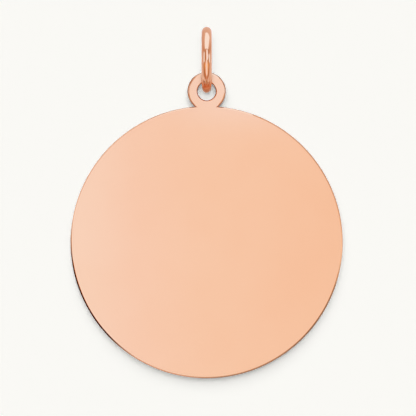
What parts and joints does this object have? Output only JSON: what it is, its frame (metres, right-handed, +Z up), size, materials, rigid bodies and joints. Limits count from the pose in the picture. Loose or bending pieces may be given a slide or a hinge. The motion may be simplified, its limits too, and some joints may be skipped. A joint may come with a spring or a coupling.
{
  "type": "disc charm",
  "caption": "Plain round charm cut from thin polished rose-coloured metal, with a pierced eye at its top edge that hangs and swings on a closed ring of round wire.",
  "frame": {"origin": "the top of the inside of the jump ring, where the chain or clasp that carries the charm lies", "axes": "+Z up as the charm hangs, +X across the face to the viewer's right, -Y out of the face; the plate stands in the XZ plane and the ring in the YZ plane"},
  "size_m": [0.019, 0.0046, 0.0245],
  "materials": {
    "plate": "rose gold sheet, polished bright, with faint buffing lines and softened edges",
    "ring": "rose gold wire, polished to a mirror"
  },
  "bodies": {
    "ring": {"jump_ring": "ring"},
    "pendant": {"disc": "plate"}
  },
  "joints": [
    {"name": "disc_swing", "type": "hinge", "parent": "ring", "child": "pendant", "pos_m": [0, 0, -0.00378], "axis": [0, 1, 0], "range_deg": [-100, 100]}
  ]
}
